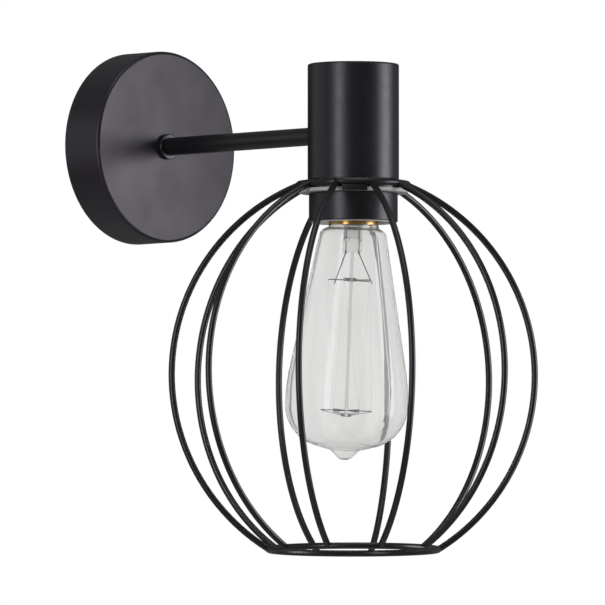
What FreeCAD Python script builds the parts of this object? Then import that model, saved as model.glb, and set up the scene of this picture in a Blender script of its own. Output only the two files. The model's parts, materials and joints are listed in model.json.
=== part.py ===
"""Cage wall light.

A round canopy stands on the wall and a straight arm reaches out of its middle to a short metal
cup. The cup holds an E27 lampholder, and a clamp ring screwed on the lampholder carries a round
cage of ten bent wires between two wire rings. A clear pear-shaped filament lamp hangs inside.

Frame: millimetres, +Z up. The origin is the middle of the canopy's back on the wall plane Y = 0.
The room is at -Y, the arm's axis is Z = 0, and the lamp hangs on a vertical axis at Y = LAMP_Y.
"""
import FreeCAD, Part
import math
import os

# ---------------------------------------------------------------- clearances and seats
SCREW_GAP = 0.05        # radial play of a screw, spigot or thread in its hole
SLIDE_GAP = 0.3         # radial play of what slides over or turns beside another piece
WELD_BITE = 0.1         # how far a welded piece is seated into the wire it touches

# ---------------------------------------------------------------- canopy on the wall
CANOPY_D = 101.6
CANOPY_DEPTH = 25.0
CANOPY_WALL = 1.2
CANOPY_EDGE_R = 1.8     # rounding of the front edge
CANOPY_INNER_EDGE_MIN_R = 0.3
CANOPY_SCREW_Y = -8.0   # the two flush screws, above and below
CANOPY_SCREW_L = 7.0
CANOPY_SCREW_SINK = 0.2

BRACKET_W = 16.0        # strap on the wall, inside the canopy
BRACKET_T = 1.5
BRACKET_TAB = 12.5      # how far its bent ends stand off the wall
BRACKET_BEND_R = 0.8    # inside radius of the bends
SLOT_SPACING = 60.0     # wall screws, centre to centre
SLOT_L = 14.0
SLOT_W = 4.6
CABLE_HOLE_D = 12.0

BLOCK_POLES = 3
BLOCK_PITCH = 9.0
BLOCK_H = 12.0
BLOCK_DEPTH = 13.0
BLOCK_BARREL_R = 3.6
BLOCK_WEB = 5.0         # thickness of the web that joins the barrels
BLOCK_BELOW_HOLE = 2.0  # from the cable hole's edge to the block
BLOCK_WIRE_R = 1.5
TERMINAL_SCREW_R = 1.4
TERMINAL_SCREW_L = 4.0
TERMINAL_SCREW_SPACING = 6.0
EARTH_SCREW_ABOVE_HOLE = 9.0
M4_R = 2.0
M4_HEAD_R = 3.8
M4_HEAD_H = 2.4
M4_HEAD_EDGE_R = 1.0
DRIVER_SLOT_W = 0.8
DRIVER_SLOT_DEPTH = 0.9
HEX_KEY = 2.0           # across flats
NUT_TURN_OFF = 0.7      # of a nut's corner height, turned off at each end

# ---------------------------------------------------------------- arm
WALL_TO_LAMP = 166.0
ARM_D = 9.5
ARM_SPIGOT_D = 8.0      # threaded ends that pass through the canopy and the cup
ARM_BORE_D = 6.0
ARM_PAST_NUT = 1.6
COLLAR_D = 13.5
COLLAR_T = 2.6
COLLAR_EDGE_R = 0.6
ARM_NUT_FLATS = 12.0
ARM_NUT_T = 3.0
ARM_WASHER_D = 13.0
ARM_WASHER_T = 0.8
WASHER_TEETH = 10
WASHER_NOTCH = 1.0

# ---------------------------------------------------------------- cup and lampholder
CUP_D = 48.0
CUP_WALL = 1.2
CUP_ABOVE_ARM = 36.5
CUP_BELOW_ARM = 24.3
CUP_EDGE_R = 1.0

HANGER_W = 16.0         # bent strap inside the cup that carries the lampholder
HANGER_T = 1.5
HANGER_ABOVE_ARM = 8.5
HANGER_SHELF_TOP = -8.0
HANGER_PAST_AXIS = 11.0
HANGER_BEND_R = 1.0
NIPPLE_D = 10.0
NIPPLE_BORE_D = 7.0
NIPPLE_IN_HOLDER = 4.0
NIPPLE_ABOVE_NUT = 1.5
NIPPLE_NUT_FLATS = 14.0
NIPPLE_NUT_T = 3.0

HOLDER_NECK_R = 9.0
HOLDER_NECK_H = 2.0
HOLDER_DOME_H = 4.0
HOLDER_BODY_R = 19.6
HOLDER_GAP = 0.5        # between the cup's edge and the lampholder's shoulder
HOLDER_PAST_CUP = 0.5   # how far the shoulder's rim stands outside the cup's wall
HOLDER_SHOULDER_H = 3.7
HOLDER_THREAD_R = 19.75
HOLDER_THREAD_L = 16.3
HOLDER_FLOOR_DEPTH = 8.5  # from the neck's top to the floor of the bore
HOLDER_SHOULDER_EDGE_R = 0.8
SHELL_WALL = 0.4        # brass thread sleeve
SHELL_BELOW_FLOOR = 2.5
SHELL_ABOVE_MOUTH = 1.0
TONGUE_W = 7.0
TONGUE_T = 0.4
TONGUE_DROP = 2.4
TONGUE_BACK = 10.0
TONGUE_BEND = 4.0
TONGUE_TIP = 5.0
TONGUE_RIVET_AT = 7.5
RIVET_R = 1.2
RIVET_HEAD_R = 2.1
RIVET_HEAD_H = 0.8
RIVET_IN_FLOOR = 2.5

# ---------------------------------------------------------------- cage
WIRE_D = 3.4
RIB_COUNT = 10
RIB_FIRST_ANGLE = 10.0  # from -Y towards +X, seen from above
RIB_TRUE_ANGLE = -44.4  # on this side the ribs are evenly spaced
RIB_CREEP = 6.0         # degrees that those on the opposite side have crept round when welded
CAGE_R = 95.4           # centre line of the wire at the widest level
RIB_ARC_R = 107.8
RING_PAST_SHOULDER = 2.4  # from the lampholder's shoulder to the top ring's wire
BOTTOM_RING_R = 44.4
RIB_LAP = 0.4           # rib ends lie this much below the top ring's centre line
RIB_STOP = 0.9          # rib ends stop this short of the ring's centre line
SEAT_T = 1.2            # washer under the top ring
LUG_T = 1.2             # its two bent-down lugs, in front of the clamp ring's flange
LUG_SPAN = 25.0         # degrees round the axis
LUG_ANGLES = (-43.0, 142.0)
LUG_PAST_FLANGE = 0.2

# ---------------------------------------------------------------- clamp ring and skirt
FLANGE_PAST_RING = 0.3  # from the top ring's centre line out to the flange's rim
FLANGE_T = 1.8
FLANGE_EDGE_R = 0.6
CLAMP_WALL = 2.1
CLAMP_LIP = 0.5         # the clamp ring shows this much below the skirt
SKIRT_WALL = 1.4
SKIRT_L = 15.1
SKIRT_EDGE_R = 0.5

# ---------------------------------------------------------------- lamp
CAP_R = 13.1
CAP_L = 23.7
CAP_WALL = 0.35
CAP_TO_FLOOR = 6.6      # from the lampholder's floor down to the cap's upper edge
CAP_UPPER_EDGE_R = 1.2
CAP_LIP = 2.0           # brass under the insulator's edge
INSULATOR_H = 2.4
CONTACT_R = 4.8
CONTACT_EDGE_R = 0.6
CONTACT_GAP = 0.3       # from the contact tongue to the lamp's foot
GLASS_WALL = 0.8
GLASS_NECK_R = 12.4
GLASS_IN_CAP = 3.5
GLASS_NECK_H = 0.9      # heights are measured down from the cap's lower edge
GLASS_NECK_FILLET = 1.6
GLASS_SHOULDER_R = 17.3
GLASS_SHOULDER_H = 3.2
GLASS_SHOULDER_FILLET = 5.0
GLASS_MAX_R = 32.1
GLASS_BELLY_H = 84.2    # where the cone would meet the widest radius
GLASS_BELLY_FILLET = 80.0
GLASS_CORNER_H = 111.7  # where the side would meet the shallow bottom
GLASS_CORNER_FILLET = 21.6
GLASS_ROOT_R = 7.6      # where the bottom turns down into the drawn-out tip
GLASS_ROOT_H = 118.3
GLASS_ROOT_FILLET = 3.0
GLASS_TIP_R = 2.6
GLASS_TIP_FILLET = 2.2
GLASS_L = 123.2
LAMP_LEAN = 2.2         # the glass is cemented slightly askew in its cap
LAMP_LEAN_TOWARDS = -134.4

STEM_R = 5.0
STEM_FLARE_H = 5.0
STEM_L = 14.4
STEM_PRESS_L = 6.0
STEM_PRESS_T = 3.0
STEM_WALL = 0.9
ROD_R = 0.9
UPPER_BUTTON_H = 28.7
LOWER_BUTTON_H = 99.8
BUTTON_R = 2.8
BUTTON_T = 1.9
BUTTON_EDGE_R = 0.57
HOOK_WIRE_R = 0.22
UPPER_HOOKS = 5
UPPER_HOOK_REACH = 12.0
LOWER_HOOKS = 6
LOWER_HOOK_REACH = 13.4
HOOK_RISE = 2.2
LEAD_WIRE_R = 0.3
LEAD_SPREAD = 3.4
LEAD_REACH = 11.5
LEAD_TURNS = (-40.0, 164.0)
FILAMENT_R = 0.09
FILAMENT_END_GAP = 0.4  # from a hook's tip to the strand that hangs on it

# ---------------------------------------------------------------- places that follow
LAMP_Y = -WALL_TO_LAMP
CUP_R = CUP_D / 2
CUP_INNER_R = CUP_R - CUP_WALL
ARM_R = ARM_D / 2
SPIGOT_R = ARM_SPIGOT_D / 2
CANOPY_R = CANOPY_D / 2
CANOPY_INNER_R = CANOPY_R - CANOPY_WALL
WIRE_R = WIRE_D / 2
HOLDER_SHOULDER_R = CUP_R + HOLDER_PAST_CUP
TOP_RING_R = HOLDER_SHOULDER_R + RING_PAST_SHOULDER + WIRE_R
FLANGE_R = TOP_RING_R + FLANGE_PAST_RING

SHELF_UNDERSIDE = HANGER_SHELF_TOP - HANGER_T
HANGER_LEG_Y = math.sqrt(CUP_INNER_R ** 2 - (HANGER_W / 2) ** 2) - SCREW_GAP
SHOULDER_TOP = -CUP_BELOW_ARM - HOLDER_GAP
SHOULDER_BOTTOM = SHOULDER_TOP - HOLDER_SHOULDER_H
HOLDER_MOUTH = SHOULDER_BOTTOM - HOLDER_THREAD_L
HOLDER_FLOOR = SHELF_UNDERSIDE - HOLDER_FLOOR_DEPTH
SEAT_TOP = SHOULDER_BOTTOM
SEAT_BOTTOM = SEAT_TOP - SEAT_T
FLANGE_BOTTOM = SEAT_BOTTOM - FLANGE_T
CLAMP_INNER_R = HOLDER_THREAD_R + SCREW_GAP
CLAMP_OUTER_R = CLAMP_INNER_R + CLAMP_WALL
SKIRT_INNER_R = CLAMP_OUTER_R + SCREW_GAP
SKIRT_R = SKIRT_INNER_R + SKIRT_WALL
SKIRT_BOTTOM = FLANGE_BOTTOM - SKIRT_L
SHELL_INNER_R = CAP_R + SLIDE_GAP
SHELL_OUTER_R = SHELL_INNER_R + SHELL_WALL
HOLDER_BORE_R = SHELL_OUTER_R + SCREW_GAP
CAP_TOP = HOLDER_FLOOR - CAP_TO_FLOOR
CAP_RIM = CAP_TOP - CAP_L
RIB_ARC_CENTRE_R = CAGE_R - RIB_ARC_R


def vec(x, y, z):
    return FreeCAD.Vector(x, y, z)


UP = vec(0, 0, 1)
DOWN = vec(0, 0, -1)
INTO_ROOM = vec(0, -1, 0)
TOWARDS_WALL = vec(0, 1, 0)
ALONG_X = vec(1, 0, 0)


def on_axis(z):
    """The point of the lamp axis at height z."""
    return vec(0, LAMP_Y, z)


def around(radius, angle, z):
    """A point round the lamp axis, its angle counted from -Y towards +X."""
    turn = math.radians(angle)
    return vec(radius * math.sin(turn), LAMP_Y - radius * math.cos(turn), z)


def turned(shape, angle):
    """A shape built in the plane that faces the room, turned about the lamp axis."""
    placed = shape.copy()
    placed.rotate(on_axis(0), UP, angle)
    return placed


def disc(radius, top, bottom):
    """An upright cylinder on the lamp axis."""
    return Part.makeCylinder(radius, top - bottom, on_axis(bottom), UP)


def tube(outer, inner, top, bottom):
    return disc(outer, top, bottom).cut(disc(inner, top, bottom))


def bar_from_wall(radius, y_start, y_end, z=0.0, x=0.0):
    """A cylinder that runs from y_start out into the room to y_end."""
    return Part.makeCylinder(radius, y_start - y_end, vec(x, y_start, z), INTO_ROOM)


def flat_face(points):
    """A flat face with straight sides."""
    return Part.Face(Part.makePolygon(points + points[:1]))


def strap_along_x(outline, width):
    """A strap of this width whose (y, z) outline is seen along X."""
    points = [vec(-width / 2, y, z) for y, z in outline]
    return flat_face(points).extrude(ALONG_X * width)


def spun(outline, span=360):
    """A solid turned about the lamp axis from a closed outline of (radius, z) points."""
    points = [vec(0, LAMP_Y - radius, z) for radius, z in outline]
    return flat_face(points).revolve(on_axis(0), UP, span)


def rounded(shape, radius, chosen):
    """The shape with a fillet on each edge that the test picks."""
    edges = [edge for edge in shape.Edges if chosen(edge)]
    return shape.makeFillet(radius, edges)


def level_circle(edge, z, radius):
    """Whether an edge is the full circle of this radius at height z round the lamp axis."""
    if not isinstance(edge.Curve, Part.Circle):
        return False
    same_height = abs(edge.Curve.Center.z - z) < 1e-6
    return same_height and abs(edge.Curve.Radius - radius) < 1e-6


def wall_circle(edge, y, radius):
    """Whether an edge is the full circle of this radius at depth y round the arm's axis."""
    if not isinstance(edge.Curve, Part.Circle):
        return False
    same_depth = abs(edge.Curve.Center.y - y) < 1e-6
    return same_depth and abs(edge.Curve.Radius - radius) < 1e-6


def hexagon(flats, thickness, base, along):
    """A hexagonal prism, across flats, that grows from its base point."""
    corner_r = flats / 2 / math.cos(math.pi / 6)
    corners = []
    for step in range(6):
        turn = step * math.pi / 3
        corners.append(vec(corner_r * math.cos(turn), corner_r * math.sin(turn), 0))
    prism = flat_face(corners).extrude(UP * thickness)
    prism.Placement = FreeCAD.Placement(base, FreeCAD.Rotation(UP, along))
    return prism


def hex_nut(flats, bore_r, thickness, base, along):
    """A nut with both of its corners turned off."""
    nut = hexagon(flats, thickness, base, along)
    cone_r = flats / 2 / math.cos(math.pi / 6)
    full = Part.makeCylinder(cone_r, thickness, base, along)
    rims = [edge for edge in full.Edges if isinstance(edge.Curve, Part.Circle)]
    full = full.makeChamfer((cone_r - flats / 2) * NUT_TURN_OFF, rims)
    bore = Part.makeCylinder(bore_r, thickness, base, along)
    return nut.common(full).cut(bore)


def pan_screw(shank_r, shank_l, head_r, head_h, edge_r, seat, inwards):
    """A slotted screw whose head stands on its seat and whose shank runs inwards."""
    outwards = inwards * -1
    head = Part.makeCylinder(head_r, head_h, seat, outwards)
    top = seat + outwards * head_h
    rim = [e for e in head.Edges if isinstance(e.Curve, Part.Circle)
           and (e.Curve.Center - top).Length < 1e-6]
    head = head.makeFillet(edge_r, rim)
    slot = Part.makeBox(2 * head_r, DRIVER_SLOT_W, DRIVER_SLOT_DEPTH,
                        vec(-head_r, -DRIVER_SLOT_W / 2, -DRIVER_SLOT_DEPTH))
    slot.Placement = FreeCAD.Placement(top, FreeCAD.Rotation(UP, outwards)).multiply(slot.Placement)
    shank = Part.makeCylinder(shank_r, shank_l, seat, inwards)
    return head.fuse(shank).cut(slot).removeSplitter()


# ---------------------------------------------------------------- canopy
def canopy():
    body = bar_from_wall(CANOPY_R, 0, -CANOPY_DEPTH)
    body = rounded(body, CANOPY_EDGE_R, lambda e: wall_circle(e, -CANOPY_DEPTH, CANOPY_R))
    pocket = bar_from_wall(CANOPY_INNER_R, 0, -CANOPY_DEPTH + CANOPY_WALL)
    inner_edge_r = max(CANOPY_EDGE_R - CANOPY_WALL, CANOPY_INNER_EDGE_MIN_R)
    pocket = rounded(pocket, inner_edge_r,
                     lambda e: wall_circle(e, -CANOPY_DEPTH + CANOPY_WALL, CANOPY_INNER_R))
    arm_hole = bar_from_wall(SPIGOT_R + SCREW_GAP, 0, -CANOPY_DEPTH)
    body = body.cut(pocket).cut(arm_hole)
    for side in (-1, 1):
        hole = Part.makeCylinder(M4_R + SCREW_GAP, CANOPY_R, vec(0, CANOPY_SCREW_Y, 0), UP * side)
        body = body.cut(hole)
    return body


def bracket_half_height():
    """The strap's ends clear the canopy's round inside wall at their corners."""
    return math.sqrt(CANOPY_INNER_R ** 2 - (BRACKET_W / 2) ** 2) - SLIDE_GAP


def slot(width, length, thickness, z):
    """An upright slot through the strap."""
    straight = length - width
    middle = Part.makeBox(width, thickness, straight, vec(-width / 2, -thickness, z - straight / 2))
    for end in (-1, 1):
        middle = middle.fuse(bar_from_wall(width / 2, 0, -thickness, z + end * straight / 2))
    return middle


def block_centre_z():
    return -(CABLE_HOLE_D / 2 + BLOCK_BELOW_HOLE + BLOCK_H / 2)


def earth_screw_z():
    return CABLE_HOLE_D / 2 + EARTH_SCREW_ABOVE_HOLE


def mounting_bracket():
    half = bracket_half_height()
    outline = [(0, -half), (0, half), (-BRACKET_TAB, half), (-BRACKET_TAB, half - BRACKET_T),
               (-BRACKET_T, half - BRACKET_T), (-BRACKET_T, -half + BRACKET_T),
               (-BRACKET_TAB, -half + BRACKET_T), (-BRACKET_TAB, -half)]
    strap = strap_along_x(outline, BRACKET_W)
    inner = half - BRACKET_T
    strap = rounded(strap, BRACKET_BEND_R,
                    lambda e: bend_edge(e, -BRACKET_T, inner))
    strap = rounded(strap, BRACKET_BEND_R + BRACKET_T, lambda e: bend_edge(e, 0, half))
    strap = strap.cut(bar_from_wall(CABLE_HOLE_D / 2, 0, -BRACKET_T))
    for side in (-1, 1):
        strap = strap.cut(slot(SLOT_W, SLOT_L, BRACKET_T, side * SLOT_SPACING / 2))
        tab_hole = Part.makeCylinder(M4_R + SCREW_GAP, CANOPY_R, vec(0, CANOPY_SCREW_Y, 0), UP * side)
        strap = strap.cut(tab_hole)
    strap = strap.cut(bar_from_wall(M4_R + SCREW_GAP, 0, -BRACKET_T, earth_screw_z()))
    return strap.cut(bar_from_wall(M4_R + SCREW_GAP, 0, -BRACKET_T, block_centre_z()))


def bend_edge(edge, y, z):
    """Whether an edge runs along X at this depth, at height z above or below the arm."""
    first = edge.Vertexes[0].Point
    last = edge.Vertexes[-1].Point
    along_x = abs(first.y - last.y) < 1e-6 and abs(first.z - last.z) < 1e-6
    return along_x and abs(first.y - y) < 1e-6 and abs(abs(first.z) - z) < 1e-6


def canopy_screws():
    """Two flush socket screws that hold the canopy to the strap's ends."""
    screws = []
    outer = CANOPY_R - CANOPY_SCREW_SINK
    for side in (-1, 1):
        out = UP * side
        foot = vec(0, CANOPY_SCREW_Y, side * (outer - CANOPY_SCREW_L))
        body = Part.makeCylinder(M4_R, CANOPY_SCREW_L, foot, out)
        socket = hexagon(HEX_KEY, HEX_KEY, vec(0, CANOPY_SCREW_Y, side * outer), out * -1)
        screws.append(body.cut(socket))
    return Part.makeCompound(screws)


def pole_places():
    middle = (BLOCK_POLES - 1) / 2
    return [(pole - middle) * BLOCK_PITCH for pole in range(BLOCK_POLES)]


def terminal_screw_heights():
    centre = block_centre_z()
    return [centre - TERMINAL_SCREW_SPACING / 2, centre + TERMINAL_SCREW_SPACING / 2]


def block_front():
    return -BRACKET_T - BLOCK_DEPTH


def terminal_block():
    """Moulded connector strip: barrels on a web, with a peg through the strap."""
    low = block_centre_z() - BLOCK_H / 2
    poles = pole_places()
    width = poles[-1] - poles[0] + 2 * BLOCK_BARREL_R
    block = Part.makeBox(width, BLOCK_WEB, BLOCK_H, vec(-width / 2, -BRACKET_T - BLOCK_WEB, low))
    barrel_y = -BRACKET_T - BLOCK_WEB
    for x in poles:
        block = block.fuse(Part.makeCylinder(BLOCK_BARREL_R, BLOCK_H, vec(x, barrel_y, low), UP))
        for z in terminal_screw_heights():
            neck = BLOCK_BARREL_R - SLIDE_GAP
            chimney = Part.makeCylinder(min(neck, TERMINAL_SCREW_SPACING / 2 - SLIDE_GAP / 2),
                                        BLOCK_DEPTH - BLOCK_WEB, vec(x, barrel_y, z), INTO_ROOM)
            block = block.fuse(chimney)
    for x in poles:
        block = block.cut(Part.makeCylinder(BLOCK_WIRE_R, BLOCK_H, vec(x, barrel_y, low), UP))
        for z in terminal_screw_heights():
            well = bar_from_wall(TERMINAL_SCREW_R + SCREW_GAP, barrel_y, block_front(), z, x)
            block = block.cut(well)
    peg = bar_from_wall(M4_R, 0, -BRACKET_T, block_centre_z())
    return block.fuse(peg).removeSplitter()


def terminal_screws():
    screws = []
    foot_y = -BRACKET_T - BLOCK_WEB - BLOCK_WIRE_R
    for x in pole_places():
        for z in terminal_screw_heights():
            screw = bar_from_wall(TERMINAL_SCREW_R, foot_y, foot_y - TERMINAL_SCREW_L, z, x)
            cut = Part.makeBox(2 * TERMINAL_SCREW_R, DRIVER_SLOT_DEPTH, DRIVER_SLOT_W,
                               vec(x - TERMINAL_SCREW_R, foot_y - TERMINAL_SCREW_L,
                                   z - DRIVER_SLOT_W / 2))
            screws.append(screw.cut(cut))
    return Part.makeCompound(screws)


def earth_screw():
    seat = vec(0, -BRACKET_T, earth_screw_z())
    return pan_screw(M4_R, BRACKET_T, M4_HEAD_R, M4_HEAD_H, M4_HEAD_EDGE_R, seat, TOWARDS_WALL)


# ---------------------------------------------------------------- arm
def arm_inner_end():
    """The threaded end in the canopy, past its washer and nut."""
    return -CANOPY_DEPTH + CANOPY_WALL + ARM_WASHER_T + ARM_NUT_T + ARM_PAST_NUT


def hanger_inner_y():
    """The face of the hanger's leg that the cup's nut bears on."""
    return LAMP_Y + HANGER_LEG_Y - HANGER_T


def arm_outer_end():
    return hanger_inner_y() - ARM_NUT_T - ARM_PAST_NUT


def arm_tube():
    """A tube with a threaded spigot at each end, its outer shoulder coped to the round cup."""
    tube_body = bar_from_wall(ARM_R, -CANOPY_DEPTH, LAMP_Y)
    tube_body = tube_body.cut(disc(CUP_R, CUP_ABOVE_ARM, -CUP_BELOW_ARM))
    spigot = bar_from_wall(SPIGOT_R, arm_inner_end(), arm_outer_end())
    bore = bar_from_wall(ARM_BORE_D / 2, arm_inner_end(), arm_outer_end())
    return tube_body.fuse(spigot).removeSplitter().cut(bore)


def arm_collar():
    front = -CANOPY_DEPTH - COLLAR_T
    ring = bar_from_wall(COLLAR_D / 2, -CANOPY_DEPTH, front)
    ring = rounded(ring, COLLAR_EDGE_R, lambda e: wall_circle(e, front, COLLAR_D / 2))
    return ring.cut(bar_from_wall(ARM_R + SCREW_GAP, -CANOPY_DEPTH, front))


def arm_washer():
    """Toothed lock washer under the nut in the canopy."""
    back = -CANOPY_DEPTH + CANOPY_WALL + ARM_WASHER_T
    front = back - ARM_WASHER_T
    ring = bar_from_wall(ARM_WASHER_D / 2, back, front)
    ring = ring.cut(bar_from_wall(SPIGOT_R + SCREW_GAP, back, front))
    for tooth in range(WASHER_TEETH):
        turn = 2 * math.pi * tooth / WASHER_TEETH
        at_x = ARM_WASHER_D / 2 * math.sin(turn)
        at_z = ARM_WASHER_D / 2 * math.cos(turn)
        ring = ring.cut(bar_from_wall(WASHER_NOTCH, back, front, at_z, at_x))
    return ring


def arm_nut():
    base = vec(0, -CANOPY_DEPTH + CANOPY_WALL + ARM_WASHER_T, 0)
    return hex_nut(ARM_NUT_FLATS, SPIGOT_R + SCREW_GAP, ARM_NUT_T, base, TOWARDS_WALL)


# ---------------------------------------------------------------- cup and lampholder
def cup():
    body = disc(CUP_R, CUP_ABOVE_ARM, -CUP_BELOW_ARM)
    body = rounded(body, CUP_EDGE_R, lambda e: level_circle(e, CUP_ABOVE_ARM, CUP_R))
    body = body.cut(disc(CUP_INNER_R, CUP_ABOVE_ARM - CUP_WALL, -CUP_BELOW_ARM))
    return body.cut(bar_from_wall(SPIGOT_R + SCREW_GAP, LAMP_Y + CUP_D, LAMP_Y))


def hanger():
    """Bent strap: one leg clamped to the cup's wall by the arm's nut, one shelf over the holder."""
    back = LAMP_Y + HANGER_LEG_Y
    front = LAMP_Y - HANGER_PAST_AXIS
    outline = [(back, HANGER_ABOVE_ARM), (back, SHELF_UNDERSIDE), (front, SHELF_UNDERSIDE),
               (front, HANGER_SHELF_TOP), (back - HANGER_T, HANGER_SHELF_TOP),
               (back - HANGER_T, HANGER_ABOVE_ARM)]
    strap = strap_along_x(outline, HANGER_W)
    strap = rounded(strap, HANGER_BEND_R,
                    lambda e: bend_edge(e, back - HANGER_T, -HANGER_SHELF_TOP))
    strap = rounded(strap, HANGER_BEND_R + HANGER_T,
                    lambda e: bend_edge(e, back, -SHELF_UNDERSIDE))
    strap = strap.cut(bar_from_wall(SPIGOT_R + SCREW_GAP, back, back - HANGER_T))
    return strap.cut(disc(NIPPLE_D / 2 + SCREW_GAP, HANGER_SHELF_TOP, SHELF_UNDERSIDE))


def cup_nut():
    base = vec(0, hanger_inner_y(), 0)
    return hex_nut(ARM_NUT_FLATS, SPIGOT_R + SCREW_GAP, ARM_NUT_T, base, INTO_ROOM)


def nipple_top():
    return HANGER_SHELF_TOP + NIPPLE_NUT_T + NIPPLE_ABOVE_NUT


def nipple_foot():
    return SHELF_UNDERSIDE - NIPPLE_IN_HOLDER


def holder_nipple():
    return tube(NIPPLE_D / 2, NIPPLE_BORE_D / 2, nipple_top(), nipple_foot())


def nipple_nut():
    base = on_axis(HANGER_SHELF_TOP)
    return hex_nut(NIPPLE_NUT_FLATS, NIPPLE_D / 2 + SCREW_GAP, NIPPLE_NUT_T, base, UP)


def holder_body():
    """Moulded lampholder: neck, sloped top, shoulder, threaded sleeve and blind bore."""
    neck_bottom = SHELF_UNDERSIDE - HOLDER_NECK_H
    outline = [(0, SHELF_UNDERSIDE), (HOLDER_NECK_R, SHELF_UNDERSIDE), (HOLDER_NECK_R, neck_bottom),
               (HOLDER_BODY_R, neck_bottom - HOLDER_DOME_H), (HOLDER_BODY_R, SHOULDER_TOP),
               (HOLDER_SHOULDER_R, SHOULDER_TOP), (HOLDER_SHOULDER_R, SHOULDER_BOTTOM),
               (HOLDER_THREAD_R, SHOULDER_BOTTOM), (HOLDER_THREAD_R, HOLDER_MOUTH),
               (HOLDER_BORE_R, HOLDER_MOUTH), (HOLDER_BORE_R, HOLDER_FLOOR), (0, HOLDER_FLOOR)]
    body = spun(outline)
    body = rounded(body, HOLDER_SHOULDER_EDGE_R,
                   lambda e: level_circle(e, SHOULDER_TOP, HOLDER_SHOULDER_R))
    body = body.cut(disc(NIPPLE_D / 2 + SCREW_GAP, SHELF_UNDERSIDE, nipple_foot()))
    return body.cut(rivet_shank())


def holder_shell():
    """Brass sleeve that the lamp's cap screws into."""
    return tube(SHELL_OUTER_R, SHELL_INNER_R, HOLDER_FLOOR - SHELL_BELOW_FLOOR,
                HOLDER_MOUTH + SHELL_ABOVE_MOUTH)


def tongue_low():
    """The lowest face of the contact tongue."""
    return HOLDER_FLOOR - TONGUE_T - TONGUE_DROP


def contact_tongue():
    """Spring strip riveted to the floor and bent down to the lamp's foot."""
    upper = [(TONGUE_BACK, 0), (TONGUE_BEND, 0), (0, -TONGUE_DROP), (-TONGUE_TIP, -TONGUE_DROP)]
    lower = [(y, drop - TONGUE_T) for y, drop in reversed(upper)]
    outline = [(LAMP_Y + y, HOLDER_FLOOR + drop) for y, drop in upper + lower]
    return strap_along_x(outline, TONGUE_W).cut(rivet_shank())


def rivet_shank():
    foot = vec(0, LAMP_Y + TONGUE_RIVET_AT, HOLDER_FLOOR - TONGUE_T)
    return Part.makeCylinder(RIVET_R, TONGUE_T + RIVET_IN_FLOOR, foot, UP)


def contact_rivet():
    foot = vec(0, LAMP_Y + TONGUE_RIVET_AT, HOLDER_FLOOR - TONGUE_T)
    head = Part.makeCylinder(RIVET_HEAD_R, RIVET_HEAD_H, foot, DOWN)
    return rivet_shank().fuse(head).removeSplitter()


# ---------------------------------------------------------------- cage
def top_ring_z():
    """The top ring lies on the seat washer."""
    return SEAT_TOP + WIRE_R - WELD_BITE


def wire_ring(radius, z):
    return Part.makeTorus(radius, WIRE_R, on_axis(z), UP)


def rib_angle_at(radius):
    """How far along the rib's arc, from its widest level, a given radius lies."""
    return math.acos((radius - RIB_ARC_CENTRE_R) / RIB_ARC_R)


def rib_centre_z():
    """The widest level, set by the rib's upper end on the top ring."""
    return top_ring_z() - RIB_LAP - RIB_ARC_R * math.sin(rib_angle_at(TOP_RING_R))


def bottom_ring_z():
    return rib_centre_z() - RIB_ARC_R * math.sin(rib_angle_at(BOTTOM_RING_R))


def seat_lug(middle):
    """A lug bent down from the seat washer over the rim of the clamp ring's flange."""
    inner = FLANGE_R + SLIDE_GAP
    outer = inner + LUG_T
    foot = FLANGE_BOTTOM - LUG_PAST_FLANGE
    outline = [(TOP_RING_R - LUG_T, SEAT_TOP), (outer, SEAT_TOP), (outer, foot), (inner, foot),
               (inner, SEAT_BOTTOM), (TOP_RING_R - LUG_T, SEAT_BOTTOM)]
    return turned(spun(outline, LUG_SPAN), middle - LUG_SPAN / 2)


def cage_seat():
    """Washer welded under the top ring and clamped on the lampholder's shoulder."""
    seat = tube(TOP_RING_R, HOLDER_THREAD_R + SLIDE_GAP, SEAT_TOP, SEAT_BOTTOM)
    for middle in LUG_ANGLES:
        seat = seat.fuse(seat_lug(middle))
    return seat.removeSplitter()


def cage_top_ring():
    return wire_ring(TOP_RING_R, top_ring_z()).cut(cage_seat())


def cage_bottom_ring():
    return wire_ring(BOTTOM_RING_R, bottom_ring_z())


def rib_blank():
    """One bent wire in the plane that faces the room, before it is coped to the rings."""
    stop = RIB_STOP / RIB_ARC_R
    upper = rib_angle_at(TOP_RING_R) - stop
    lower = rib_angle_at(BOTTOM_RING_R) - stop
    centre = around(RIB_ARC_CENTRE_R, 0, rib_centre_z())
    start = centre + vec(0, -RIB_ARC_R * math.cos(upper), RIB_ARC_R * math.sin(upper))
    tangent = vec(0, -math.sin(upper), -math.cos(upper))
    section = Part.Face(Part.Wire(Part.makeCircle(WIRE_R, start, tangent)))
    return section.revolve(centre, ALONG_X, math.degrees(upper + lower))


def cage_rib(angle):
    rib = rib_blank().cut(cage_top_ring()).cut(cage_bottom_ring())
    return turned(rib, angle)


# ---------------------------------------------------------------- clamp ring and skirt
def clamp_ring():
    """Pale ring screwed on the lampholder: a flange that lifts the cage and a long sleeve."""
    ring = disc(FLANGE_R, SEAT_BOTTOM, FLANGE_BOTTOM)
    ring = rounded(ring, FLANGE_EDGE_R, lambda e: level_circle(e, FLANGE_BOTTOM, FLANGE_R))
    ring = ring.fuse(disc(CLAMP_OUTER_R, SEAT_BOTTOM, SKIRT_BOTTOM - CLAMP_LIP))
    ring = ring.removeSplitter()
    return ring.cut(disc(CLAMP_INNER_R, SEAT_BOTTOM, SKIRT_BOTTOM - CLAMP_LIP))


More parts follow.
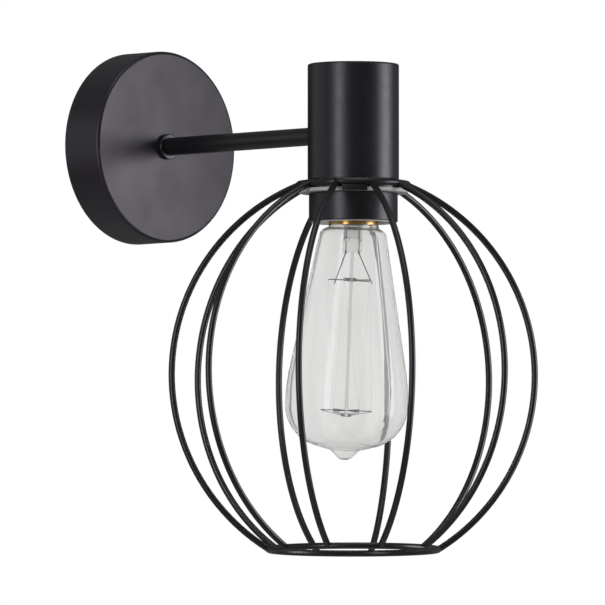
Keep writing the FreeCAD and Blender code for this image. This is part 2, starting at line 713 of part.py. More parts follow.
def skirt():
    """Black sleeve pressed over the clamp ring, its ends rounded."""
    sleeve = disc(SKIRT_R, FLANGE_BOTTOM, SKIRT_BOTTOM)
    sleeve = rounded(sleeve, SKIRT_EDGE_R, lambda e: level_circle(e, FLANGE_BOTTOM, SKIRT_R)
                     or level_circle(e, SKIRT_BOTTOM, SKIRT_R))
    return sleeve.cut(disc(SKIRT_INNER_R, FLANGE_BOTTOM, SKIRT_BOTTOM))


# ---------------------------------------------------------------- lamp
def foot_z():
    """The lamp's lowest contact face, just under the contact tongue."""
    return tongue_low() - CONTACT_GAP


def lamp_contact():
    dome = disc(CONTACT_R, foot_z(), CAP_TOP + INSULATOR_H)
    return rounded(dome, CONTACT_EDGE_R, lambda e: level_circle(e, foot_z(), CONTACT_R))


def lamp_insulator():
    """Dark glass cone between the foot contact and the cap."""
    inner = CAP_R - CAP_UPPER_EDGE_R
    return spun([(0, CAP_TOP), (inner, CAP_TOP), (CONTACT_R, CAP_TOP + INSULATOR_H),
                 (0, CAP_TOP + INSULATOR_H)])


def lamp_cap():
    """Brass cap: a thin sleeve turned in at its upper edge."""
    outer = rounded(disc(CAP_R, CAP_TOP, CAP_RIM), CAP_UPPER_EDGE_R,
                    lambda e: level_circle(e, CAP_TOP, CAP_R))
    hollow_r = CAP_R - CAP_WALL
    hollow_top = CAP_TOP - CAP_WALL
    hollow = rounded(disc(hollow_r, hollow_top, CAP_RIM), CAP_UPPER_EDGE_R - CAP_WALL,
                     lambda e: level_circle(e, hollow_top, hollow_r))
    eye = disc(CAP_R - CAP_UPPER_EDGE_R - CAP_LIP, CAP_TOP, hollow_top)
    return outer.cut(hollow).cut(eye)


def glass_point(radius, height):
    """A point of the glass's outline, its height measured down from the cap's lower edge."""
    return vec(0, LAMP_Y - radius, CAP_RIM - height)


def rounded_path(points, radii):
    """Straight runs joined by tangent arcs, one radius for each inner point."""
    edges = []
    start = points[0]
    for before, corner, after, radius in zip(points, points[1:], points[2:], radii):
        arrive = (corner - before).normalize()
        leave = (after - corner).normalize()
        half_turn = arrive.getAngle(leave) / 2
        enter = corner - arrive * radius * math.tan(half_turn)
        end = corner + leave * radius * math.tan(half_turn)
        sagitta = radius * (1 - math.cos(half_turn))
        middle = (enter + end) / 2 + (arrive - leave).normalize() * sagitta
        edges.append(Part.makeLine(start, enter))
        edges.append(Part.Arc(enter, middle, end).toShape())
        start = end
    edges.append(Part.makeLine(start, points[-1]))
    return edges


def glass_outline():
    """The outside of the glass from its neck to its tip."""
    points = [glass_point(GLASS_NECK_R, -GLASS_IN_CAP), glass_point(GLASS_NECK_R, GLASS_NECK_H),
              glass_point(GLASS_SHOULDER_R, GLASS_SHOULDER_H),
              glass_point(GLASS_MAX_R, GLASS_BELLY_H), glass_point(GLASS_MAX_R, GLASS_CORNER_H),
              glass_point(GLASS_ROOT_R, GLASS_ROOT_H), glass_point(GLASS_TIP_R, GLASS_L),
              glass_point(0, GLASS_L)]
    radii = [GLASS_NECK_FILLET, GLASS_SHOULDER_FILLET, GLASS_BELLY_FILLET, GLASS_CORNER_FILLET,
             GLASS_ROOT_FILLET, GLASS_TIP_FILLET]
    return rounded_path(points, radii)


def glass_blank():
    """The glass as if it were solid."""
    top = glass_point(0, -GLASS_IN_CAP)
    edges = glass_outline()
    edges.append(Part.makeLine(glass_point(0, GLASS_L), top))
    edges.append(Part.makeLine(top, glass_point(GLASS_NECK_R, -GLASS_IN_CAP)))
    wire = Part.Wire(Part.__sortEdges__(edges))
    return Part.Face(wire).revolve(on_axis(0), UP, 360)


def leaning(shape):
    """The glass and all that it carries, tilted about the cap's lower edge."""
    turn = math.radians(LAMP_LEAN_TOWARDS)
    outwards = vec(math.sin(turn), -math.cos(turn), 0)
    placed = shape.copy()
    placed.rotate(on_axis(CAP_RIM), outwards.cross(UP), LAMP_LEAN)
    return placed


def lamp_glass():
    """The blown envelope, open at the neck where the stem's flare is sealed in."""
    blank = glass_blank()
    neck_end = [f for f in blank.Faces if abs(f.CenterOfMass.z - CAP_RIM - GLASS_IN_CAP) < 1e-6]
    return blank.makeThickness(neck_end, -GLASS_WALL, 1e-4)


def stem_z(height):
    return CAP_RIM - height


def lamp_stem():
    """Glass stem: a flare sealed to the neck, a tube and a flat press that grips the leads."""
    top = stem_z(-GLASS_IN_CAP)
    flare_r = GLASS_NECK_R - GLASS_WALL - SCREW_GAP
    throat = top - STEM_FLARE_H
    press_top = stem_z(STEM_L - STEM_PRESS_L)
    flare = spun([(0, top), (flare_r, top), (flare_r, top - STEM_WALL), (STEM_R, throat),
                  (STEM_R, press_top), (0, press_top)])
    hollow = spun([(0, top), (flare_r - STEM_WALL, top), (STEM_R - STEM_WALL, throat),
                   (STEM_R - STEM_WALL, press_top + STEM_WALL), (0, press_top + STEM_WALL)])
    press = Part.makeBox(2 * STEM_R, STEM_PRESS_T, STEM_PRESS_L,
                         vec(-STEM_R, LAMP_Y - STEM_PRESS_T / 2, stem_z(STEM_L)))
    press = press.common(disc(STEM_R, press_top, stem_z(STEM_L)))
    return turned(flare.cut(hollow).fuse(press).removeSplitter(), LAMP_LEAN_TOWARDS + 90)


def button_faces(height):
    """The upper and lower face of a button whose middle is at this height."""
    middle = stem_z(height)
    return middle + BUTTON_T / 2, middle - BUTTON_T / 2


def lamp_rod():
    """Glass rod from the press through the upper button to the lower one."""
    return disc(ROD_R, stem_z(STEM_L), button_faces(LOWER_BUTTON_H)[0])


def button(height, bored):
    upper, lower = button_faces(height)
    bead = disc(BUTTON_R, upper, lower)
    bead = rounded(bead, BUTTON_EDGE_R, lambda e: level_circle(e, upper, BUTTON_R)
                   or level_circle(e, lower, BUTTON_R))
    return bead.cut(disc(ROD_R, upper, lower)) if bored else bead


def strand(radius, start, end):
    """A straight fine wire between two points."""
    return Part.makeCylinder(radius, (end - start).Length, start, end - start)


def hook_tip(reach, count, index, height, rise):
    return around(reach, 360.0 * index / count, stem_z(height) + rise)


def hooks(count, reach, height, rise):
    """Fine support wires that start on a button's round side."""
    wires = []
    for index in range(count):
        root = around(BUTTON_R, 360.0 * index / count, stem_z(height))
        wires.append(strand(HOOK_WIRE_R, root, hook_tip(reach, count, index, height, rise)))
    return Part.makeCompound(wires).cut(disc(BUTTON_R, *button_faces(height)))


def upper_hooks():
    return turned(hooks(UPPER_HOOKS, UPPER_HOOK_REACH, UPPER_BUTTON_H, 0), LAMP_LEAN_TOWARDS)


def lower_hooks():
    return turned(hooks(LOWER_HOOKS, LOWER_HOOK_REACH, LOWER_BUTTON_H, HOOK_RISE), LAMP_LEAN_TOWARDS)


def lead_ends():
    """Where the two lead wires end, beside the upper button."""
    low = stem_z(UPPER_BUTTON_H) - BUTTON_T
    return [around(LEAD_REACH, LAMP_LEAN_TOWARDS + turn, low) for turn in LEAD_TURNS]


def lamp_leads():
    press_end = stem_z(STEM_L)
    wires = []
    for side, end in zip((0, 180), lead_ends()):
        root = around(LEAD_SPREAD, LAMP_LEAN_TOWARDS + side, press_end)
        wires.append(strand(LEAD_WIRE_R, root, end))
    return Part.makeCompound(wires).cut(disc(STEM_R, press_end + STEM_PRESS_L, press_end))


def lamp_filament():
    """A carbon thread hung zigzag between the upper and the lower hooks."""
    strands = []
    for index in range(LOWER_HOOKS - 1):
        upper = hook_tip(UPPER_HOOK_REACH, UPPER_HOOKS, index, UPPER_BUTTON_H, 0)
        for neighbour in (index, index + 1):
            lower = hook_tip(LOWER_HOOK_REACH, LOWER_HOOKS, neighbour, LOWER_BUTTON_H, HOOK_RISE)
            along = (lower - upper).normalize() * FILAMENT_END_GAP
            strands.append(strand(FILAMENT_R, upper + along, lower - along))
    return turned(Part.makeCompound(strands), LAMP_LEAN_TOWARDS)


PARTS = {
    "canopy": canopy,
    "mounting_bracket": mounting_bracket,
    "canopy_screws": canopy_screws,
    "terminal_block": terminal_block,
    "terminal_screws": terminal_screws,
    "earth_screw": earth_screw,
    "arm_tube": arm_tube,
    "arm_collar": arm_collar,
    "arm_washer": arm_washer,
    "arm_nut": arm_nut,
    "cup": cup,
    "hanger": hanger,
    "cup_nut": cup_nut,
    "holder_nipple": holder_nipple,
    "nipple_nut": nipple_nut,
    "holder_body": holder_body,
    "holder_shell": holder_shell,
    "contact_tongue": contact_tongue,
    "contact_rivet": contact_rivet,
    "cage_seat": cage_seat,
    "cage_top_ring": cage_top_ring,
    "cage_bottom_ring": cage_bottom_ring,
    "clamp_ring": clamp_ring,
    "skirt": skirt,
    "lamp_contact": lamp_contact,
    "lamp_insulator": lamp_insulator,
    "lamp_cap": lamp_cap,
    "lamp_glass": lambda: leaning(lamp_glass()),
    "lamp_stem": lambda: leaning(lamp_stem()),
    "lamp_rod": lambda: leaning(lamp_rod()),
    "lamp_upper_button": lambda: leaning(button(UPPER_BUTTON_H, True)),
    "lamp_lower_button": lambda: leaning(button(LOWER_BUTTON_H, False)),
    "lamp_upper_hooks": lambda: leaning(upper_hooks()),
    "lamp_lower_hooks": lambda: leaning(lower_hooks()),
    "lamp_leads": lambda: leaning(lamp_leads()),
    "lamp_filament": lambda: leaning(lamp_filament()),
}


def write(name, shape):
    shape.exportStep(os.path.join("parts", name + ".step"))


def rib_place(index):
    """The angle of a rib: an even spacing, and the creep that grows towards the opposite side."""
    even = RIB_FIRST_ANGLE + 360.0 * index / RIB_COUNT
    away = 1 - math.cos(math.radians(even - RIB_TRUE_ANGLE))
    return even + RIB_CREEP * away / 2


def main():
    os.makedirs("parts", exist_ok=True)
    for name, build in PARTS.items():
        write(name, build())
    for index in range(RIB_COUNT):
        write("cage_rib_%02d" % (index + 1), cage_rib(rib_place(index)))


main()
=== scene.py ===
"""Looks of the cage wall light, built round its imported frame.

Metres, +Z up. The wall is the plane Y = 0, the room is at -Y, the arm's axis is Z = 0 and the lamp
hangs on an upright axis through the cup's middle.
"""
import bmesh
import bpy
import json
import math
from mathutils import Matrix, Vector


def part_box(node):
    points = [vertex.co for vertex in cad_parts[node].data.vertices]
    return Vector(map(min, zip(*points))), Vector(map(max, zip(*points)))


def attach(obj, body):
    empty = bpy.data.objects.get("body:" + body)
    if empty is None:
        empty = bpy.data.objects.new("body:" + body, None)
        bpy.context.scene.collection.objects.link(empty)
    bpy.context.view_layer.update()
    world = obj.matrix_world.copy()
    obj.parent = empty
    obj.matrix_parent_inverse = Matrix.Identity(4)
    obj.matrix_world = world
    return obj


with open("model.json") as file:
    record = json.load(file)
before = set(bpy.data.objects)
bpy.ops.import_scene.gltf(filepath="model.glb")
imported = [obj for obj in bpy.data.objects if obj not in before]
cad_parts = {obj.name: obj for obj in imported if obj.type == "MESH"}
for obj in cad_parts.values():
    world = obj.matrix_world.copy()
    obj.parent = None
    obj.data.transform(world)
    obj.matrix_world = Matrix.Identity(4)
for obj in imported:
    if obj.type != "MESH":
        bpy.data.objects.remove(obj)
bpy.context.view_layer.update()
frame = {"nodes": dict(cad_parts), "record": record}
nodes = frame["nodes"]


def middle_of(node):
    low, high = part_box(node)
    return (low + high) / 2


LAMP_Y = middle_of("cup").y

# ---------------------------------------------------------------- camera
AZIMUTH = math.radians(-44.4)       # 0 looks along +Y
ELEVATION = math.radians(-3.5)
CAMERA_DISTANCE = 9.0
CLIP = (0.1, 100.0)
FRAME_PX = 605
SENSOR_MM = 36.0
PX_PER_M = 1905.0                   # at the lamp's axis
ARM_MEETS_LAMP_PX = (353.3, 133.5)  # where the two axes cross, in the 605 px frame


def direction(azimuth, elevation):
    """The way from the object to someone who stands at this azimuth and elevation."""
    level = math.cos(elevation)
    return Vector((math.sin(azimuth) * level, -math.cos(azimuth) * level, math.sin(elevation)))


def rightwards():
    """The way that points to the right in the picture."""
    return Vector((math.cos(AZIMUTH), math.sin(AZIMUTH), 0))


def make_camera():
    back = direction(AZIMUTH, ELEVATION)
    right = rightwards()
    up = back.cross(right)
    to_centre = (FRAME_PX / 2 - ARM_MEETS_LAMP_PX[0], ARM_MEETS_LAMP_PX[1] - FRAME_PX / 2)
    target = Vector((0, LAMP_Y, 0)) + (right * to_centre[0] + up * to_centre[1]) / PX_PER_M
    data = bpy.data.cameras.new("camera")
    data.sensor_width = SENSOR_MM
    data.lens = PX_PER_M * CAMERA_DISTANCE * SENSOR_MM / FRAME_PX
    data.clip_start, data.clip_end = CLIP
    camera = bpy.data.objects.new("camera", data)
    bpy.context.scene.collection.objects.link(camera)
    camera.location = target + back * CAMERA_DISTANCE
    camera.rotation_mode = "QUATERNION"
    camera.rotation_quaternion = (-back).to_track_quat("-Z", "Y")
    bpy.context.scene.camera = camera


# ---------------------------------------------------------------- light, world and floor
LAMPS = (
    # name, turn and lift in degrees, distance, width and height in metres, watts
    ("left_strip", -34, 4, 1.7, 0.36, 1.3, 11),
    ("right_box", 84, -3, 0.9, 0.42, 0.66, 5.3),    # what the canopy's face mirrors
    ("top_box", 20, 68, 1.8, 1.2, 1.2, 7),
    ("left_fill", -96, 8, 2.0, 1.9, 1.3, 3.4),
)
LAMPS_AIM = Vector((0, LAMP_Y / 2, -0.06))
LAMP_TINT = (1.0, 0.96, 1.06)
WHITE = (1, 1, 1, 1)
AMBIENT = 0.10
GLOSSY_LEVEL = 0.035        # what paint and metal mirror near the horizon
GLOSSY_ABOVE = 0.10         # what is added to it straight above
GLOSSY_BELOW = 0.20         # and straight below
GLOSSY_EASE = (0.3, 0.9)    # the heights in the sky between which it is added
FLOOR_Z = -1.1
FLOOR_HALF = 0.9
FLOOR_COLOUR = (0.82, 0.82, 0.81)
FLOOR_ROUGHNESS = 0.8


def softbox(name, turn, lift, distance, width, height, watts):
    """An area lamp that faces the cage. turn is its angle to the right of the camera."""
    data = bpy.data.lights.new(name, "AREA")
    data.shape = "RECTANGLE"
    data.size = width
    data.size_y = height
    data.energy = watts
    data.color = LAMP_TINT
    lamp = bpy.data.objects.new(name, data)
    bpy.context.scene.collection.objects.link(lamp)
    way = direction(AZIMUTH + math.radians(turn), math.radians(lift))
    lamp.location = LAMPS_AIM + way * distance
    lamp.rotation_mode = "QUATERNION"
    lamp.rotation_quaternion = (-way).to_track_quat("-Z", "Y")
    lamp.visible_camera = False
    lamp.visible_transmission = False   # no lamp is seen through the glass


def make_lights():
    for lamp in LAMPS:
        softbox(*lamp)


def eased(tree, value, start, end, top):
    """From 0 at start to top at end, with soft ends."""
    node = tree.nodes.new("ShaderNodeMapRange")
    node.interpolation_type = "SMOOTHSTEP"
    node.inputs["From Min"].default_value = start
    node.inputs["From Max"].default_value = end
    node.inputs["To Max"].default_value = top
    tree.links.new(value, node.inputs["Value"])
    return node.outputs["Result"]


def computed(tree, operation, first, second):
    """The sum, product or maximum of two sockets, or of a socket and a plain number."""
    node = tree.nodes.new("ShaderNodeMath")
    node.operation = operation
    tree.links.new(first, node.inputs[0])
    if isinstance(second, float):
        node.inputs[1].default_value = second
    else:
        tree.links.new(second, node.inputs[1])
    return node.outputs[0]


def background(tree, strength):
    node = tree.nodes.new("ShaderNodeBackground")
    node.inputs["Color"].default_value = WHITE
    node.inputs["Strength"].default_value = strength
    return node.outputs[0]


def make_world():
    """White to the camera and through glass, dim to paint and metal, dimmer still as light."""
    world = bpy.data.worlds.new("studio")
    bpy.context.scene.world = world
    world.use_nodes = True
    tree = world.node_tree
    tree.nodes.clear()
    path = tree.nodes.new("ShaderNodeLightPath")
    seen = computed(tree, "MAXIMUM", path.outputs["Is Camera Ray"], path.outputs["Is Transmission Ray"])
    split = tree.nodes.new("ShaderNodeSeparateXYZ")
    tree.links.new(tree.nodes.new("ShaderNodeTexCoord").outputs["Generated"], split.inputs[0])
    start, end = GLOSSY_EASE
    above = eased(tree, split.outputs["Z"], start, end, GLOSSY_ABOVE)
    below = eased(tree, split.outputs["Z"], -start, -end, GLOSSY_BELOW)
    level = computed(tree, "ADD", computed(tree, "MAXIMUM", above, below), GLOSSY_LEVEL)
    mirrored = computed(tree, "MULTIPLY", path.outputs["Is Glossy Ray"], level)
    mix = tree.nodes.new("ShaderNodeMixShader")
    output = tree.nodes.new("ShaderNodeOutputWorld")
    tree.links.new(computed(tree, "MAXIMUM", seen, mirrored), mix.inputs[0])
    tree.links.new(background(tree, AMBIENT), mix.inputs[1])
    tree.links.new(background(tree, 1.0), mix.inputs[2])
    tree.links.new(mix.outputs[0], output.inputs["Surface"])


def make_floor():
    """A pale floor below the light."""
    mesh = bpy.data.meshes.new("floor")
    half = FLOOR_HALF
    corners = [(-half, LAMP_Y - half, FLOOR_Z), (half, LAMP_Y - half, FLOOR_Z),
               (half, LAMP_Y + half, FLOOR_Z), (-half, LAMP_Y + half, FLOOR_Z)]
    mesh.from_pydata(corners, [], [(0, 1, 2, 3)])
    floor = bpy.data.objects.new("floor", mesh)
    bpy.context.scene.collection.objects.link(floor)
    paint = Paint("floor")
    paint.constant("Base Color", (*FLOOR_COLOUR, 1))
    paint.constant("Roughness", FLOOR_ROUGHNESS)
    mesh.materials.append(paint.material)


# ---------------------------------------------------------------- materials
NOISE_SPAN = (0.3, 0.7)     # between these values lies nearly all of a noise
STREAK_SPAN = (0.35, 0.65)
# the painted sheen's lighter and darker sides run across this span
PAINTED_SHEEN_REACH = 0.05           # half of the width a fade runs across
SHEEN_SWING = 0.035         # how far satin black's roughness strays
ZINC_COLOURS = (0.46, 0.47, 0.5), (0.66, 0.67, 0.7)
BRASS_COLOURS = (0.55, 0.31, 0.09), (0.74, 0.47, 0.17)
SOLDER_COLOURS = (0.42, 0.42, 0.43), (0.62, 0.62, 0.63)
BLACK_GLASS_COLOURS = (0.008, 0.008, 0.012), (0.02, 0.02, 0.03)
WIRE_COLOUR = (0.03, 0.03, 0.032)
FILAMENT_COLOUR = (0.42, 0.40, 0.38)
LAMP_GLASS_COLOUR = (0.985, 0.99, 0.983)
STEM_GLASS_COLOUR = (0.76, 0.77, 0.76)
BLOOM_COLOUR = (0.50, 0.51, 0.47)
BLOOM_ROUGHNESS = 0.6
BLOOM_SHINE = 0.1
THIN_GLASS_IOR = 1.22       # a thin wall bends little light
STEM_GLASS_IOR = 1.5
LAMP_LIGHT_SHARE = 0.9      # what passes a wall of glass
FINE_WIRE_NODES = ("lamp_upper_hooks", "lamp_lower_hooks")


class Paint:
    """A node material built up around one Principled shader."""

    def __init__(self, name):
        self.material = bpy.data.materials.new(name)
        self.material.use_nodes = True
        self.tree = self.material.node_tree
        self.tree.nodes.clear()
        self.principled = self.add("ShaderNodeBsdfPrincipled")
        self.output = self.add("ShaderNodeOutputMaterial")
        self.show(self.principled.outputs[0])
        self.place = self.add("ShaderNodeTexCoord").outputs["Object"]

    def add(self, kind):
        return self.tree.nodes.new(kind)

    def link(self, source, target):
        self.tree.links.new(source, target)

    def show(self, shader):
        self.link(shader, self.output.inputs["Surface"])

    def constant(self, socket, value):
        self.principled.inputs[socket].default_value = value

    def stretched(self, x, y, z):
        """The object's own coordinates, in metres, stretched by these factors."""
        mapping = self.add("ShaderNodeMapping")
        mapping.inputs["Scale"].default_value = (x, y, z)
        self.link(self.place, mapping.inputs["Vector"])
        return mapping.outputs[0]

    def noise(self, per_metre, detail=3.0, where=None):
        node = self.add("ShaderNodeTexNoise")
        node.inputs["Scale"].default_value = per_metre
        node.inputs["Detail"].default_value = detail
        self.link(where or self.place, node.inputs["Vector"])
        return node.outputs["Fac"]

    def across(self):
        """The place along X, in metres."""
        node = self.add("ShaderNodeSeparateXYZ")
        self.link(self.place, node.inputs[0])
        return node.outputs["X"]

    def ranged(self, value, low, high, span=NOISE_SPAN):
        """A value in the span, mapped to low and high."""
        node = self.add("ShaderNodeMapRange")
        node.inputs["From Min"].default_value = span[0]
        node.inputs["From Max"].default_value = span[1]
        node.inputs["To Min"].default_value = low
        node.inputs["To Max"].default_value = high
        self.link(value, node.inputs["Value"])
        return node.outputs["Result"]

    def coloured(self, value, first, second):
        """The base colour runs from first to second with the noise."""
        node = self.add("ShaderNodeMix")
        node.data_type = "RGBA"
        node.inputs["A"].default_value = (*first, 1)
        node.inputs["B"].default_value = (*second, 1)
        self.link(self.ranged(value, 0, 1), node.inputs["Factor"])
        self.link(node.outputs["Result"], self.principled.inputs["Base Color"])

    def roughened(self, value, low, high):
        """The roughness runs from low to high with the noise."""
        self.link(self.ranged(value, low, high), self.principled.inputs["Roughness"])

    def bumps(self, *heights):
        """Bump layers, each a (value, strength, depth in metres)."""
        normal = None
        for value, strength, depth in heights:
            node = self.add("ShaderNodeBump")
            node.inputs["Strength"].default_value = strength
            node.inputs["Distance"].default_value = depth
            self.link(value, node.inputs["Height"])
            if normal:
                self.link(normal, node.inputs["Normal"])
            normal = node.outputs["Normal"]
        self.link(normal, self.principled.inputs["Normal"])

    def mixed(self, share, first, second):
        """Two shaders, of which share is a socket or a number and goes to the second."""
        mix = self.add("ShaderNodeMixShader")
        if isinstance(share, float):
            mix.inputs[0].default_value = share
        else:
            self.link(share, mix.inputs[0])
        self.link(first, mix.inputs[1])
        self.link(second, mix.inputs[2])
        return mix.outputs[0]


def times(colour, factor):
    return tuple(part * factor for part in colour)


def satin_black(name, colour, roughness, grain=1500.0, blotch=45.0, shine=0.5, painted_sheen_share=0.0):
    """Sprayed satin black: faint mottling in colour and sheen over a fine orange peel.

    The last argument paints light. It is the share by which the shine grows towards -X and shrinks towards
    +X: a painted sheen that makes one side of the piece lighter and the other darker.
    """
    paint = Paint(name)
    # painted sheen: the shine is stronger towards -X and weaker towards +X, a lighter and a darker side
    # that stand in for light falling across the piece
    painted_sheen_level = paint.ranged(paint.across(), shine * (1 + painted_sheen_share), shine * (1 - painted_sheen_share), (-PAINTED_SHEEN_REACH, PAINTED_SHEEN_REACH))
    paint.link(painted_sheen_level, paint.principled.inputs["Specular IOR Level"])
    paint.coloured(paint.noise(blotch, 4.0), times(colour, 0.85), times(colour, 1.25))
    paint.roughened(paint.noise(blotch * 4, 5.0), roughness - SHEEN_SWING, roughness + SHEEN_SWING)
    paint.bumps((paint.noise(grain, 2.0), 0.12, 0.00006), (paint.noise(grain * 4, 1.0), 0.08, 0.00002))
    return paint.material


def zinc(name):
    """Zinc-plated steel with faint clouds."""
    paint = Paint(name)
    paint.coloured(paint.noise(220.0, 4.0), *ZINC_COLOURS)
    paint.constant("Metallic", 1.0)
    paint.roughened(paint.noise(600.0), 0.24, 0.4)
    paint.bumps((paint.noise(2500.0, 2.0), 0.15, 0.00004))
    return paint.material


def brass(name):
    """Rolled sheet brass with a little tarnish and faint drawing lines round the cap."""
    paint = Paint(name)
    paint.coloured(paint.noise(150.0, 5.0), *BRASS_COLOURS)
    paint.constant("Metallic", 1.0)
    paint.roughened(paint.noise(400.0), 0.16, 0.32)
    lines = paint.noise(60.0, 2.0, paint.stretched(1, 1, 60))
    paint.bumps((lines, 0.1, 0.00005))
    return paint.material


def plastic(name, colour, roughness):
    """Moulded plastic with a slight sheen and a fine skin."""
    paint = Paint(name)
    paint.coloured(paint.noise(90.0, 3.0), times(colour, 0.93), colour)
    paint.roughened(paint.noise(500.0), roughness - 0.05, roughness + 0.05)
    paint.bumps((paint.noise(1800.0, 2.0), 0.1, 0.00004))
    return paint.material


def solder(name):
    """A cooled drop of solder."""
    paint = Paint(name)
    paint.coloured(paint.noise(700.0), *SOLDER_COLOURS)
    paint.constant("Metallic", 1.0)
    paint.roughened(paint.noise(900.0), 0.3, 0.5)
    paint.bumps((paint.noise(800.0, 2.0), 0.3, 0.0001))
    return paint.material


def wire(name, colour, roughness):
    """Thin drawn wire, dulled by heat."""
    paint = Paint(name)
    paint.coloured(paint.noise(300.0, 3.0), colour, times(colour, 1.5))
    paint.constant("Metallic", 0.8)
    paint.roughened(paint.noise(900.0), roughness - 0.1, roughness + 0.1)
    return paint.material


def thread(name, colour, hidden):
    """A wire finer than its solid: the hidden share of the light passes it."""
    paint = Paint(name)
    paint.coloured(paint.noise(400.0), colour, times(colour, 1.3))
    paint.constant("Roughness", 0.6)
    clear = paint.add("ShaderNodeBsdfTransparent").outputs[0]
    paint.show(paint.mixed(hidden, paint.principled.outputs[0], clear))
    return paint.material


def glass(name, colour, ior):
    """Clear glass, still without its surface."""
    paint = Paint(name)
    paint.constant("Base Color", (*colour, 1))
    paint.constant("Transmission Weight", 1.0)
    paint.constant("Roughness", 0.0)
    paint.constant("IOR", ior)
    return paint


def let_lamps_through(paint, shader):
    """Rays to the lamps pass straight through, dimmed a little."""
    clear = paint.add("ShaderNodeBsdfTransparent")
    clear.inputs["Color"].default_value = (*times(WHITE[:3], LAMP_LIGHT_SHARE), 1)
    to_lamp = paint.add("ShaderNodeLightPath").outputs["Is Shadow Ray"]
    paint.show(paint.mixed(to_lamp, shader, clear.outputs[0]))


def blown_glass(name, veil, ripple):
    """The lamp's glass, under a faint grey veil with upright streaks."""
    paint = glass(name, LAMP_GLASS_COLOUR, THIN_GLASS_IOR)
    waves = paint.noise(26.0, 2.0, paint.stretched(1, 1, 0.22))
    paint.bumps((waves, ripple, 0.0006))
    bloom = paint.add("ShaderNodeBsdfPrincipled")
    bloom.inputs["Base Color"].default_value = (*BLOOM_COLOUR, 1)
    bloom.inputs["Roughness"].default_value = BLOOM_ROUGHNESS
    bloom.inputs["Specular IOR Level"].default_value = BLOOM_SHINE
    streaks = paint.noise(70.0, 2.0, paint.stretched(1, 1, 0.05))
    share = paint.ranged(streaks, 0.75 * veil, 1.2 * veil, STREAK_SPAN)
    let_lamps_through(paint, paint.mixed(share, paint.principled.outputs[0], bloom.outputs[0]))
    return paint.material


def stem_glass(name):
    """The thick glass of the stem, the rod and the buttons."""
    paint = glass(name, STEM_GLASS_COLOUR, STEM_GLASS_IOR)
    paint.bumps((paint.noise(300.0, 2.0), 0.2, 0.0002))
    let_lamps_through(paint, paint.principled.outputs[0])
    return paint.material


def black_glass(name):
    """The black insulator in the lamp's foot."""
    paint = Paint(name)
    paint.coloured(paint.noise(400.0), *BLACK_GLASS_COLOURS)
    paint.roughened(paint.noise(500.0), 0.05, 0.16)
    paint.bumps((paint.noise(350.0, 2.0), 0.3, 0.0002))
    return paint.material


def make_materials():
    return {
        # the canopy's face gets a painted sheen, lighter on its left and darker on its right
        "canopy_paint": satin_black("canopy_paint", (0.0165, 0.0140, 0.0175), 0.36, blotch=14.0,
                                    shine=0.32, painted_sheen_share=0.28),
        "arm_black": satin_black("arm_black", (0.008, 0.008, 0.009), 0.36),
        "cup_black": satin_black("cup_black", (0.006, 0.006, 0.0078), 0.37),
        "cage_black": satin_black("cage_black", (0.008, 0.008, 0.0085), 0.32),
        "skirt_black": satin_black("skirt_black", (0.006, 0.006, 0.0075), 0.39),
        "zinc_steel": zinc("zinc_steel"),
        "brass": brass("brass"),
        "white_plastic": plastic("white_plastic", (0.8, 0.8, 0.78), 0.45),
        "holder_plastic": plastic("holder_plastic", (0.60, 0.61, 0.57), 0.36),
        "lamp_solder": solder("lamp_solder"),
        "insulator_glass": black_glass("insulator_glass"),
        "lamp_glass": blown_glass("lamp_glass", veil=0.15, ripple=0.12),
        "stem_glass": stem_glass("stem_glass"),
        "support_wire": wire("support_wire", WIRE_COLOUR, 0.45),
        "fine_wire": thread("fine_wire", WIRE_COLOUR, hidden=0.6),
        "filament": thread("filament", FILAMENT_COLOUR, hidden=0.85),
    }


def dress(materials):
    """Gives each frame node the material of its slot, and the finest wires a see-through one."""
    for part in frame["record"]["subparts"]:
        name = part["node"]
        finish = "fine_wire" if name in FINE_WIRE_NODES else part["material_slot"]
        nodes[name].data.materials.clear()
        nodes[name].data.materials.append(materials[finish])


# ---------------------------------------------------------------- wires inside the lamp's stem
INNER_LEAD_R = 0.00025
INNER_LEAD_L = 0.0135       # from the press's lower end up into the flare
WELD_R = 0.00055
WELD_L = 0.0013
WELDS_ABOVE = (-0.0006, 0.0068)  # places along each wire
ROUND_SIDES = 12
HOOK_ROOT_R = 0.0011        # how near the axis a support wire starts
HOOK_ROOT_WIRE_R = 0.00024
END_BAND = 0.0005           # points this near a rod's highest or lowest one belong to its end


def ends_of(points):
    """The middles of a rod's upper and lower end, from its points."""
    high = max(point.z for point in points)
    low = min(point.z for point in points)
    upper = [point for point in points if point.z > high - END_BAND]
    lower = [point for point in points if point.z < low + END_BAND]
    return sum(upper, Vector()) / len(upper), sum(lower, Vector()) / len(lower)


def points_of(node):
    return [vertex.co for vertex in nodes[node].data.vertices]


def add_rod(builder, start, end, radius):
    """A closed round rod between two points."""
    along = end - start
    turn = along.to_track_quat("Z", "Y").to_matrix().to_4x4()
    place = Matrix.Translation((start + end) / 2) @ turn
    bmesh.ops.create_cone(builder, cap_ends=True, segments=ROUND_SIDES, radius1=radius, radius2=radius,
                          depth=along.length, matrix=place)


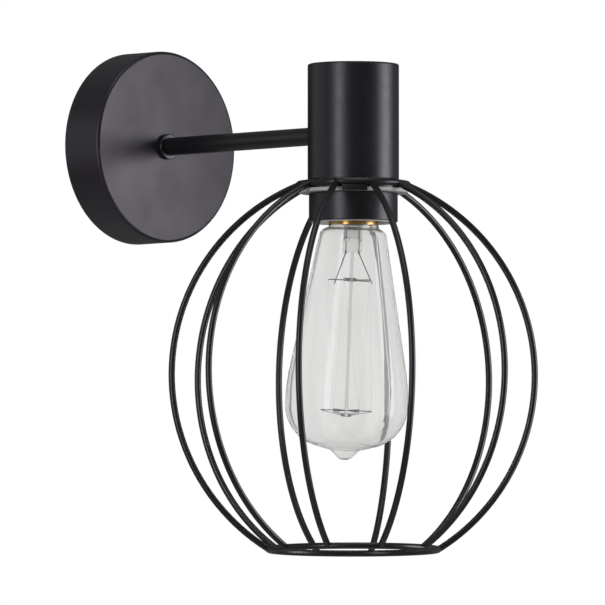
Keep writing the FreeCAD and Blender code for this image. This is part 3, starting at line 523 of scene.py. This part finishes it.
def off_axis(point, axis_point, up):
    """The way from the lamp's axis to a point, square to the axis."""
    way = point - axis_point
    return way - up * way.dot(up)


def islands(mesh):
    """The points of each separate wire of a mesh."""
    builder = bmesh.new()
    builder.from_mesh(mesh)
    left = set(builder.verts)
    found = []
    for start in builder.verts:
        if start not in left:
            continue
        left.discard(start)
        queue = [start]
        island = []
        while queue:
            vertex = queue.pop()
            island.append(vertex.co.copy())
            for edge in vertex.link_edges:
                other = edge.other_vert(vertex)
                if other in left:
                    left.discard(other)
                    queue.append(other)
        found.append(island)
    builder.free()
    return found


def add_hook_roots(builder, hooks, axis_point, up):
    """Each support wire starts inside its glass button, a little off the lamp's axis."""
    for island in islands(nodes[hooks].data):
        near = min(island, key=lambda point: off_axis(point, axis_point, up).length)
        outwards = off_axis(near, axis_point, up)
        inner = near - outwards * (1 - HOOK_ROOT_R / outwards.length)
        add_rod(builder, inner, near, HOOK_ROOT_WIRE_R)


def make_inner_leads(material):
    """The lead wires run on through the press and the hollow stem, welded where the metal changes."""
    rod_top, rod_foot = ends_of(points_of("lamp_rod"))
    up = (rod_top - rod_foot).normalized()
    leads = points_of("lamp_leads")
    builder = bmesh.new()
    for side in (-1, 1):
        across = rightwards() * side
        wire_points = [point for point in leads if (point - rod_top).dot(across) > 0]
        root = ends_of(wire_points)[0]
        add_rod(builder, root, root + up * INNER_LEAD_L, INNER_LEAD_R)
        for height in WELDS_ABOVE:
            foot = root + up * height
            add_rod(builder, foot, foot + up * WELD_L, WELD_R)
    for hooks in FINE_WIRE_NODES:
        add_hook_roots(builder, hooks, rod_foot, up)
    mesh = bpy.data.meshes.new("lamp_inner_leads")
    builder.to_mesh(mesh)
    builder.free()
    mesh.materials.append(material)
    piece = bpy.data.objects.new("lamp_inner_leads", mesh)
    bpy.context.scene.collection.objects.link(piece)
    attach(piece, "lamp")


# ---------------------------------------------------------------- the scene
make_camera()
make_world()
make_lights()
make_floor()
finishes = make_materials()
dress(finishes)
make_inner_leads(finishes["support_wire"])

bpy.context.scene.view_settings.view_transform = "Standard"
